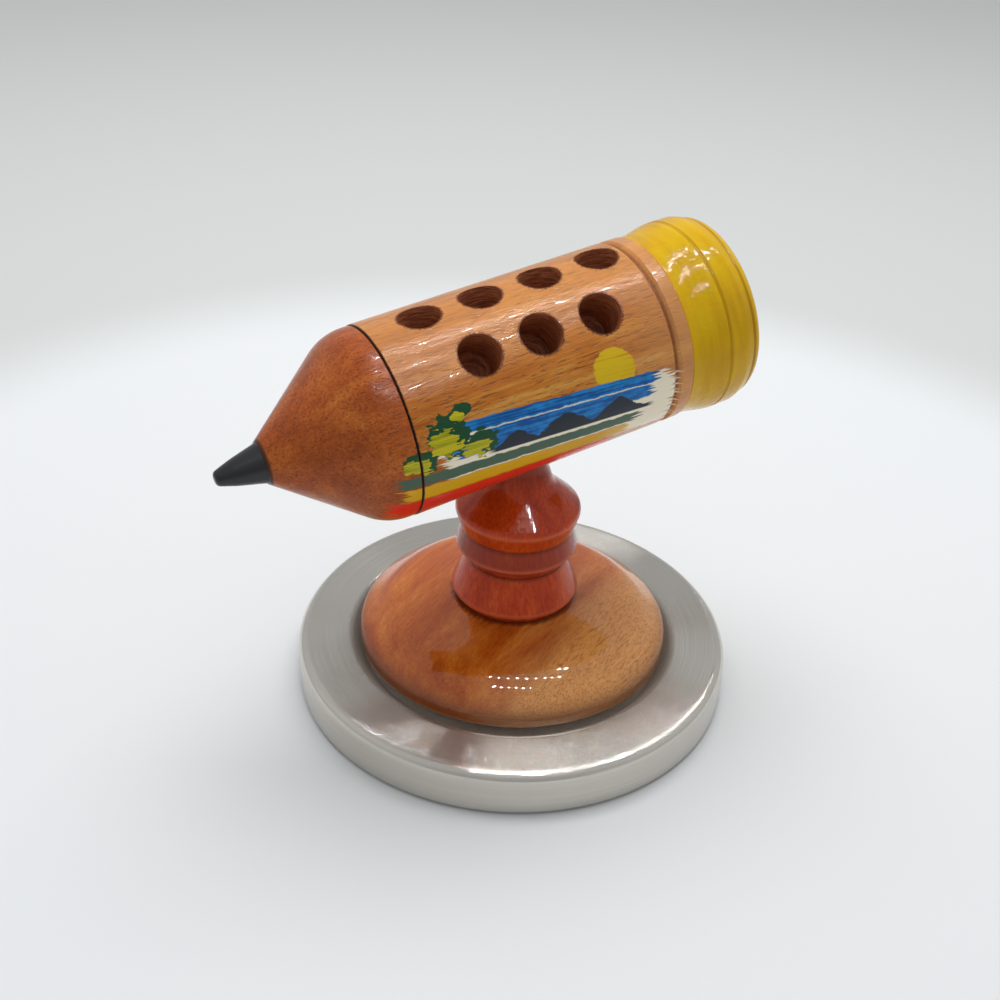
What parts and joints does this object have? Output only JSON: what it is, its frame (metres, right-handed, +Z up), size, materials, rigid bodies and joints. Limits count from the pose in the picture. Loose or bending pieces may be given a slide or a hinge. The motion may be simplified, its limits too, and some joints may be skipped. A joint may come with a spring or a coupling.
{
  "type": "pen holder",
  "caption": "Desk pen holder shaped like a giant turned wooden pencil with drilled pen holes, on a turned post that swivels on a weighted steel base; the nose pulls off.",
  "frame": {"origin": "on the table, under the post, at the centre of the pad's underside", "axes": "+Z up, +X along the pencil in plan from its point to its eraser, +Y across the pencil"},
  "size_m": [0.1591, 0.135, 0.1425],
  "materials": {
    "brushed_steel": "spun brushed stainless",
    "ballast_iron": "bare iron",
    "black_plastic": "moulded, matte",
    "steel_hardware": "zinc-plated",
    "pad_rubber": "matte non-slip",
    "slip_plastic": "low-friction",
    "insert_brass": "turned",
    "orange_wood": "orange stain, gloss varnish",
    "red_wood": "red-orange stain, gloss varnish",
    "barrel_wood": "golden brown with red streaks, gloss varnish, painted band",
    "plain_wood": "bare",
    "yellow_paint": "yellow gloss paint on wood",
    "nose_wood": "red-brown, gloss varnish",
    "black_paint": "black gloss paint on wood"
  },
  "bodies": {
    "base": {"base_shell": "brushed_steel", "ballast_disc": "ballast_iron", "bottom_plate": "black_plastic", "plate_screws": "steel_hardware", "base_pad": "pad_rubber", "slip_ring": "slip_plastic"},
    "holder": {"wooden_foot": "orange_wood", "foot_insert": "insert_brass", "pivot_bolt": "steel_hardware", "pivot_washer": "steel_hardware", "post": "red_wood", "barrel": "barrel_wood", "eraser_dowel": "plain_wood", "eraser": "yellow_paint"},
    "cap": {"nose_cap": "nose_wood", "lead_tip": "black_paint"}
  },
  "joints": [
    {"name": "holder_swivel", "type": "hinge", "parent": "base", "child": "holder", "pos_m": [0, 0, 0.0098], "axis": [0, 0, 1], "continuous": true},
    {"name": "nose_pull", "type": "slide", "parent": "holder", "child": "cap", "axis": [-0.9903, 0, -0.1392], "range_m": [0, 0.06]}
  ]
}
